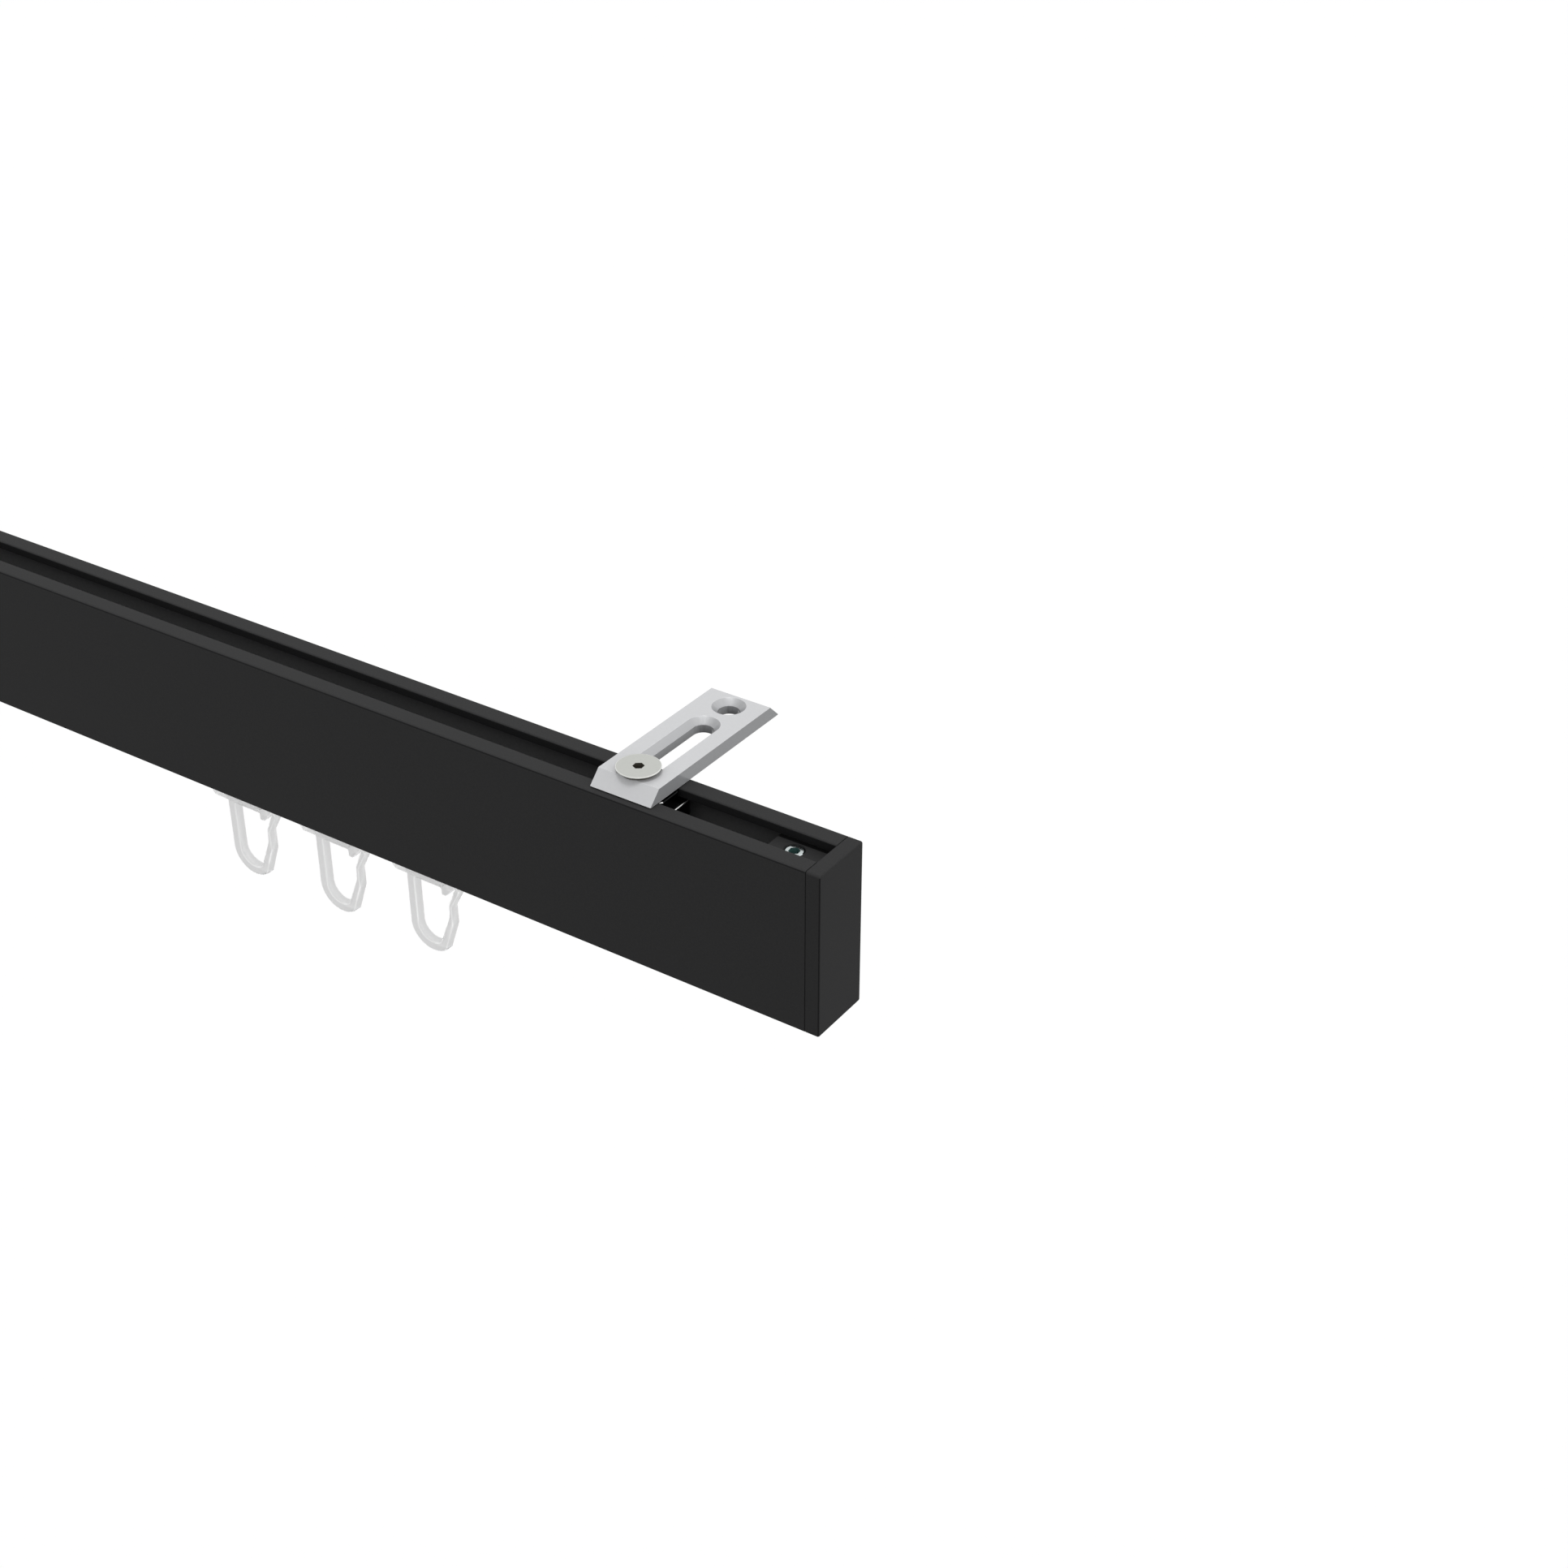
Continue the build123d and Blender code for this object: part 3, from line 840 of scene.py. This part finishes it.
lathe, lathe_in, lathe_out = geometry_tree("lathe_with_thread", [
    ("Steps", "NodeSocketInt"), ("Rows", "NodeSocketInt"), ("Axis X", "NodeSocketFloat"),
    ("Socket Flats", "NodeSocketFloat"), ("Socket Turn", "NodeSocketFloat"),
    ("Pitch", "NodeSocketFloat"), ("Thread Depth", "NodeSocketFloat"),
    ("Finish", "NodeSocketMaterial"),
])
given = lathe_in.outputs
columns = calc(lathe, "ADD", given["Steps"], 1.0)
grid = wire(lathe, "GeometryNodeMeshGrid", {"Vertices X": columns, "Vertices Y": given["Rows"]})
index = wire(lathe, "GeometryNodeInputIndex").outputs[0]
in_column = calc(lathe, "DIVIDE", calc(lathe, "ADD", index, 0.5), given["Rows"])
column = calc(lathe, "FLOOR", in_column)
row = calc(lathe, "SUBTRACT", index, calc(lathe, "MULTIPLY", column, given["Rows"]))


def on_profile(kind, value):
    """The profile's value at this grid point's row."""
    links = {"Geometry": given["Geometry"], "Value": value, "Index": row}
    return wire(lathe, "GeometryNodeSampleIndex", links, data_type=kind).outputs[0]


def profile_mark(name):
    """A number that is stored on the profile's points."""
    named = wire(lathe, "GeometryNodeInputNamedAttribute", {"Name": name}, data_type="FLOAT")
    return on_profile("FLOAT", named.outputs["Attribute"])


position = wire(lathe, "GeometryNodeInputPosition").outputs[0]
point = wire(lathe, "ShaderNodeSeparateXYZ", {0: on_profile("FLOAT_VECTOR", position)}).outputs
print("lathe inputs:", [socket.name for socket in given if socket.name])

# %% [markdown]
# Where the profile says "hex", the radius becomes that of a hexagon at this angle. Where it says
# "thread", a wave that climbs with the angle cuts a groove: its flanks slope, and its crest and
# root are flat, as a die leaves them.

# %% Lathe: hexagon and thread
FULL_TURN = 2 * math.pi
ONE_FLAT = FULL_TURN / 6
HALF_PITCH = 0.5
FLANK_START = 0.06
FLANK_END = 0.44

turns = calc(lathe, "DIVIDE", column, given["Steps"])
angle = calc(lathe, "MULTIPLY", turns, FULL_TURN)
socket_angle = calc(lathe, "ADD", calc(lathe, "SUBTRACT", angle, given["Socket Turn"]), FULL_TURN)
flat_angle = calc(lathe, "SUBTRACT", calc(lathe, "MODULO", socket_angle, ONE_FLAT), ONE_FLAT / 2)
half_flats = calc(lathe, "DIVIDE", given["Socket Flats"], 2.0)
hexagon = calc(lathe, "DIVIDE", half_flats, calc(lathe, "COSINE", flat_angle))
round_or_hex = wire(lathe, "ShaderNodeMix", {
    "Factor": profile_mark("hex"), "A": point["X"], "B": hexagon,
}, data_type="FLOAT").outputs["Result"]

climb = calc(lathe, "SUBTRACT", calc(lathe, "DIVIDE", point["Z"], given["Pitch"]), turns)
groove = ramp(lathe, calc(lathe, "PINGPONG", climb, HALF_PITCH), FLANK_START, FLANK_END)
full_cut = calc(lathe, "MULTIPLY", groove, given["Thread Depth"])
cut = calc(lathe, "MULTIPLY", full_cut, profile_mark("thread"))
radius_here = calc(lathe, "SUBTRACT", round_or_hex, cut)
print("lathe nodes so far:", len(lathe.nodes))

# %% [markdown]
# The radius and the angle give each grid point its place. Welding then closes the seam and the two
# poles, and the profile's marks travel along for the tints of the finish.

# %% Lathe: place, marks and seam
across = calc(lathe, "MULTIPLY", radius_here, calc(lathe, "COSINE", angle))
deep = calc(lathe, "MULTIPLY", radius_here, calc(lathe, "SINE", angle))
spot = wire(lathe, "ShaderNodeCombineXYZ",
            {"X": calc(lathe, "ADD", across, given["Axis X"]), "Y": deep, "Z": point["Z"]})
shape = wire(lathe, "GeometryNodeSetPosition",
             {"Geometry": grid.outputs["Mesh"], "Position": spot.outputs[0]}).outputs[0]
for mark in ("edge", "socket"):
    shape = wire(lathe, "GeometryNodeStoreNamedAttribute",
                 {"Geometry": shape, "Name": mark, "Value": profile_mark(mark)},
                 data_type="FLOAT", domain="POINT").outputs[0]
welded = wire(lathe, "GeometryNodeMergeByDistance", {"Geometry": shape, "Distance": WELD})
real = wire(lathe, "GeometryNodeRealizeInstances", {"Geometry": welded.outputs[0]})
coated = wire(lathe, "GeometryNodeSetMaterial",
              {"Geometry": real.outputs[0], "Material": given["Finish"]})
lathe.links.new(coated.outputs[0], lathe_out.inputs[0])
print("lathe nodes:", len(lathe.nodes))

# %% [markdown]
# A profile is a list of points from the middle of the socket's floor, over the head, down to the
# tip. Each point has a radius, a height and four marks: hex, thread, edge and socket. The socket
# mark says where painted shade goes: in the socket and on the cone under a head. The groove fades
# in and out at the thread's ends, as it does where a die starts and stops.

# %% Profile rows
MARKS = ("hex", "thread", "edge", "socket")
STEPS_PER_PITCH = 10
M4_RADIUS = 1.95 * MM
M4_PITCH = 0.7 * MM
M4_DEPTH = 0.36 * MM
THREAD_FADE = 0.35 * MM
TIP_CHAMFER = 0.4 * MM
HEX_FLATS = 2.0 * MM
HEX_CHAMFER = 0.05 * MM
SOCKET_POINT = 0.35 * MM


def at(radius, height, hexagonal=0, thread=0, edge=0, socket=0):
    """One point of a profile with its four marks, in the order of MARKS."""
    return (radius, height, hexagonal, thread, edge, socket)


def socket_rows(top, depth):
    """The hexagonal socket, from the middle of its floor up to its broken edge."""
    half = HEX_FLATS / 2
    return [
        at(0.0, top - depth - SOCKET_POINT, socket=1),
        at(half, top - depth, hexagonal=1, socket=1),
        at(half, top - HEX_CHAMFER, hexagonal=1, socket=1),
        at(half + HEX_CHAMFER / 2, top, hexagonal=1),
    ]


def threaded_rows(top, tip):
    """The threaded shank, from just under the head down to its chamfered tip."""
    bottom = tip + TIP_CHAMFER
    count = max(2, round((top - bottom) / M4_PITCH * STEPS_PER_PITCH))
    rows = []
    for step in range(count + 1):
        z = top + (bottom - top) * step / count
        depth = min(1.0, (top - z) / THREAD_FADE, (z - bottom) / THREAD_FADE)
        rows.append(at(M4_RADIUS, z, thread=max(0.0, depth)))
    return [*rows, at(M4_RADIUS - TIP_CHAMFER, tip), at(0.0, tip)]


print("socket rows:", len(socket_rows(0.0, HEX_FLATS)))

# %% [markdown]
# The clamp screw has a flat countersunk head whose rim is broken and carries a painted highlight,
# and a cone below it that is painted dark as shade. The grub screw has no head, and its thread
# starts under a small chamfer.

# %% Clamp and grub profiles
HEAD_RADIUS = 4.3 * MM
HEAD_RIM = 0.2 * MM
HEAD_BREAK = 0.12 * MM
BREAK_MIDDLE = 0.3
MARK_GAP = 0.01 * MM
CLAMP_SOCKET = 1.6 * MM
GRUB_SOCKET = 2.2 * MM
GRUB_CHAMFER = 0.30 * MM


def clamp_profile(top, tip):
    """Flat countersunk head with a small rim, a cone, and a threaded shank."""
    cone_bottom = top - HEAD_RIM - (HEAD_RADIUS - M4_RADIUS)
    middle = BREAK_MIDDLE * HEAD_BREAK
    return [
        *socket_rows(top, CLAMP_SOCKET),
        at(HEAD_RADIUS - HEAD_BREAK - MARK_GAP, top),
        at(HEAD_RADIUS - HEAD_BREAK, top, edge=1),
        at(HEAD_RADIUS - middle, top - middle, edge=1),
        at(HEAD_RADIUS, top - HEAD_BREAK, edge=1),
        at(HEAD_RADIUS, top - HEAD_RIM),
        # The cone under the head is marked socket, for its painted shade.
        at(HEAD_RADIUS - NEAR, top - HEAD_RIM - NEAR, socket=1),
        at(M4_RADIUS + NEAR, cone_bottom + NEAR, socket=1),
        *threaded_rows(cone_bottom, tip),
    ]


def grub_profile(top, tip):
    """A headless screw: threaded all along, with a chamfered top and tip."""
    return [
        *socket_rows(top, GRUB_SOCKET),
        at(M4_RADIUS - GRUB_CHAMFER, top),
        *threaded_rows(top - GRUB_CHAMFER, tip),
    ]


print("rows of a 10 mm clamp screw:", len(clamp_profile(0.0, -10 * MM)))

# %% [markdown]
# The tree reads its profile as loose vertices with attributes. It runs once for each screw, with
# its inputs set by their identifiers, and the result becomes a plain mesh whose faces point
# outwards.

# %% Clamp and grub screws
LATHE_STEPS = 60
SOCKET_TURN = math.radians(36)


def profile_object(points):
    """A profile as loose vertices that carry their marks as attributes."""
    data = bpy.data.meshes.new("profile")
    data.from_pydata([(p[0], 0.0, p[1]) for p in points], [], [])
    for column_number, name in enumerate(MARKS, start=2):
        layer = data.attributes.new(name, "FLOAT", "POINT")
        layer.data.foreach_set("value", [float(p[column_number]) for p in points])
    return temporary(data, "profile")


def run_tree(tree, thing, name, values):
    """Runs a tree on an object with the given inputs and returns the plain mesh it makes."""
    modifier = thing.modifiers.new(tree.name, "NODES")
    modifier.node_group = tree
    for item in tree.interface.items_tree:
        if item.in_out == "INPUT" and item.name in values:
            modifier[item.identifier] = values[item.name]
    mesh = plain_mesh(thing, name)
    bpy.data.objects.remove(thing)
    return mesh


for side in SIDES:
    for kind, body, profile, material, slot_name in (
        ("clamp_screw", f"{side}_screw_body", clamp_profile, screw_zinc, "screw_steel"),
        ("grub_screw", "rail_body", grub_profile, bright_zinc, "grub_steel"),
    ):
        node = f"{side}_{kind}"
        low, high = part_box(node)
        points = profile(high.z, low.z)
        turned_mesh = run_tree(lathe, profile_object(points), f"{node}_threaded", {
            "Steps": LATHE_STEPS, "Rows": len(points), "Axis X": (low.x + high.x) / 2,
            "Socket Flats": HEX_FLATS, "Socket Turn": SOCKET_TURN,
            "Pitch": M4_PITCH, "Thread Depth": M4_DEPTH, "Finish": material,
        })
        outward = bmesh.new()
        outward.from_mesh(turned_mesh)
        bmesh.ops.recalc_face_normals(outward, faces=outward.faces)
        outward.to_mesh(turned_mesh)
        closed = all(e.is_manifold for e in outward.edges)
        outward.free()
        place_piece(shaded(turned_mesh, material), f"{node}_threaded", body, [node])
        print(node, "faces:", len(turned_mesh.polygons), "closed:", closed)

# %% [markdown]
# ## Gliders
# Each glider is one nylon moulding: a head that runs in the rail's lower channel, a neck in the
# slot, a flange under the rail and a hook. A mould has no sharp inner corners, so every outer edge
# of the part is rounded, and light gathers in those edges, helped by a paler edge colour, a
# painted highlight. The hook could be drawn again as a curve, but might drift from the solid. So
# its outline is read from the CAD glider's side face.

# %% The hook's outline
MASTER_NODE = "glider_06"
MASTER_X = 12.65 * MM
FACING = 0.99
HOOK_HALF = 1.1 * MM
FLANGE_TOP = -35.5 * MM
FLANGE_BOTTOM = -38.0 * MM

master_low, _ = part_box(MASTER_NODE)
source = welded_copy(MASTER_NODE)
source.normal_update()
side_faces = [f for f in source.faces if f.normal.y < -FACING
              and abs(f.calc_center_median().y + HOOK_HALF) < NEAR]
side_face = max(side_faces, key=lambda f: f.calc_area())
hidden_top = (FLANGE_TOP + FLANGE_BOTTOM) / 2
outline = [(v.co.x - MASTER_X, v.co.z) for v in side_face.verts]
outline = [(x, hidden_top if z > FLANGE_BOTTOM - NEAR else z) for x, z in outline]
source.free()
print("outline points:", len(outline))

# %% [markdown]
# The moulding is built from four forms. The hook, the flange and the head are rounded one by one,
# and then all four are joined, so that the creases between them stay crisp, as they do in a mould.
# Each form is a slab: an outline seen from the front, swept across the rod.

# %% Slabs and the hook
FINE_FLATNESS = FLATNESS / 10
EDGE_ROUND = 0.28 * MM


def slab(points, y_low, y_high):
    """A closed slab from an outline of (x, z) points, between two planes across the rod."""
    mesh = bmesh.new()
    front = mesh.faces.new([mesh.verts.new((x, y_low, z)) for x, z in points])
    swept = bmesh.ops.extrude_face_region(mesh, geom=[front])
    moved = [v for v in swept["geom"] if isinstance(v, bmesh.types.BMVert)]
    bmesh.ops.translate(mesh, verts=moved, vec=(0.0, y_high - y_low, 0.0))
    bmesh.ops.dissolve_limit(mesh, angle_limit=FINE_FLATNESS, verts=mesh.verts, edges=mesh.edges)
    bmesh.ops.recalc_face_normals(mesh, faces=mesh.faces)
    return mesh


def along_the_face(edge):
    """Whether the edge lies in the hook's front or back face."""
    return abs(edge.verts[0].co.y - edge.verts[1].co.y) < WELD


hook = slab(outline, -HOOK_HALF, HOOK_HALF)
round_edges(hook, EDGE_ROUND, RIGHT_ANGLE_ONLY, wanted=along_the_face)
print("hook faces:", len(hook.faces))

# %% Flange, neck and head
FLANGE_HALF_X = 6.9 * MM
FLANGE_HALF_Y = 4.75 * MM
FLANGE_BEVEL = 0.8 * MM
NECK_HALF_X = 5.5 * MM
NECK_HALF_Y = 2.75 * MM
HEAD_HALF_X = 6.7 * MM
HEAD_HALF_Y = 5.1 * MM
HEAD_BOTTOM = -33.2 * MM
HEAD_TOP = -30.8 * MM
HEAD_CORNER = 1.6 * MM
HEAD_CORNER_SEGMENTS = 8
SINK = 0.3 * MM


def block(half_x, half_y, z_low, z_high):
    """A box centred on the glider's axis."""
    points = [(-half_x, z_low), (half_x, z_low), (half_x, z_high), (-half_x, z_high)]
    return slab(points, -half_y, half_y)


def upright_edge(edge):
    """Whether the edge runs up and down."""
    return abs(edge.verts[0].co.z - edge.verts[1].co.z) > WELD


flange = slab([
    (-FLANGE_HALF_X, FLANGE_TOP), (-FLANGE_HALF_X, FLANGE_BOTTOM + FLANGE_BEVEL),
    (-FLANGE_HALF_X + FLANGE_BEVEL, FLANGE_BOTTOM), (FLANGE_HALF_X - FLANGE_BEVEL, FLANGE_BOTTOM),
    (FLANGE_HALF_X, FLANGE_BOTTOM + FLANGE_BEVEL), (FLANGE_HALF_X, FLANGE_TOP),
], -FLANGE_HALF_Y, FLANGE_HALF_Y)
round_edges(flange, EDGE_ROUND, ANY_CORNER)
neck = block(NECK_HALF_X, NECK_HALF_Y, FLANGE_TOP - SINK, HEAD_BOTTOM + SINK)
head = block(HEAD_HALF_X, HEAD_HALF_Y, HEAD_BOTTOM, HEAD_TOP)
round_edges(head, HEAD_CORNER, ANY_CORNER, segments=HEAD_CORNER_SEGMENTS, wanted=upright_edge)
round_edges(head, EDGE_ROUND, RIGHT_ANGLE_ONLY)
print("flange, neck and head faces:", [len(form.faces) for form in (flange, neck, head)])

# %% [markdown]
# A union joins the forms into one closed moulding. A voxel remesh would join them too, but it would
# blur the thin roundings, so the exact solver does it.

# %% One moulding
forms = [temporary(form, name) for form, name in
         ((hook, "hook"), (flange, "flange"), (neck, "neck"), (head, "head"))]
for other in forms[1:]:
    joining = forms[0].modifiers.new("join_" + other.name, "BOOLEAN")
    joining.operation = "UNION"
    joining.solver = "EXACT"
    joining.object = other
moulding = shaded(plain_mesh(forms[0], "moulding"), nylon)
for form in forms:
    bpy.data.objects.remove(form)
print("moulding faces:", len(moulding.polygons))

# %% [markdown]
# The same moulding hangs ten times along the rod, once on each glider's own body. A small tree
# moves it to its place and gives it its finish. It runs once for each glider, because each must be
# a mesh of its own to slide by itself.

# %% Ten places
GLIDERS = 10

hang, hang_in, hang_out = geometry_tree(
    "hang_at_place", [("Place", "NodeSocketFloat"), ("Finish", "NodeSocketMaterial")]
)
shift = wire(hang, "ShaderNodeCombineXYZ", {"X": hang_in.outputs["Place"]})
moved = wire(hang, "GeometryNodeTransform",
             {"Geometry": hang_in.outputs["Geometry"], "Translation": shift.outputs[0]})
real = wire(hang, "GeometryNodeRealizeInstances", {"Geometry": moved.outputs[0]})
coated = wire(hang, "GeometryNodeSetMaterial",
              {"Geometry": real.outputs[0], "Material": hang_in.outputs["Finish"]})
hang.links.new(coated.outputs[0], hang_out.inputs[0])

for number in range(1, GLIDERS + 1):
    node = f"glider_{number:02d}"
    node_low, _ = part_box(node)
    place_x = MASTER_X + node_low.x - master_low.x
    mesh = run_tree(hang, temporary(moulding.copy(), node), f"{node}_moulding",
                    {"Place": place_x, "Finish": nylon})
    place_piece(mesh, f"{node}_moulding", f"{node}_body", [node])
    print(node, "at", round(place_x / MM, 2), "mm")
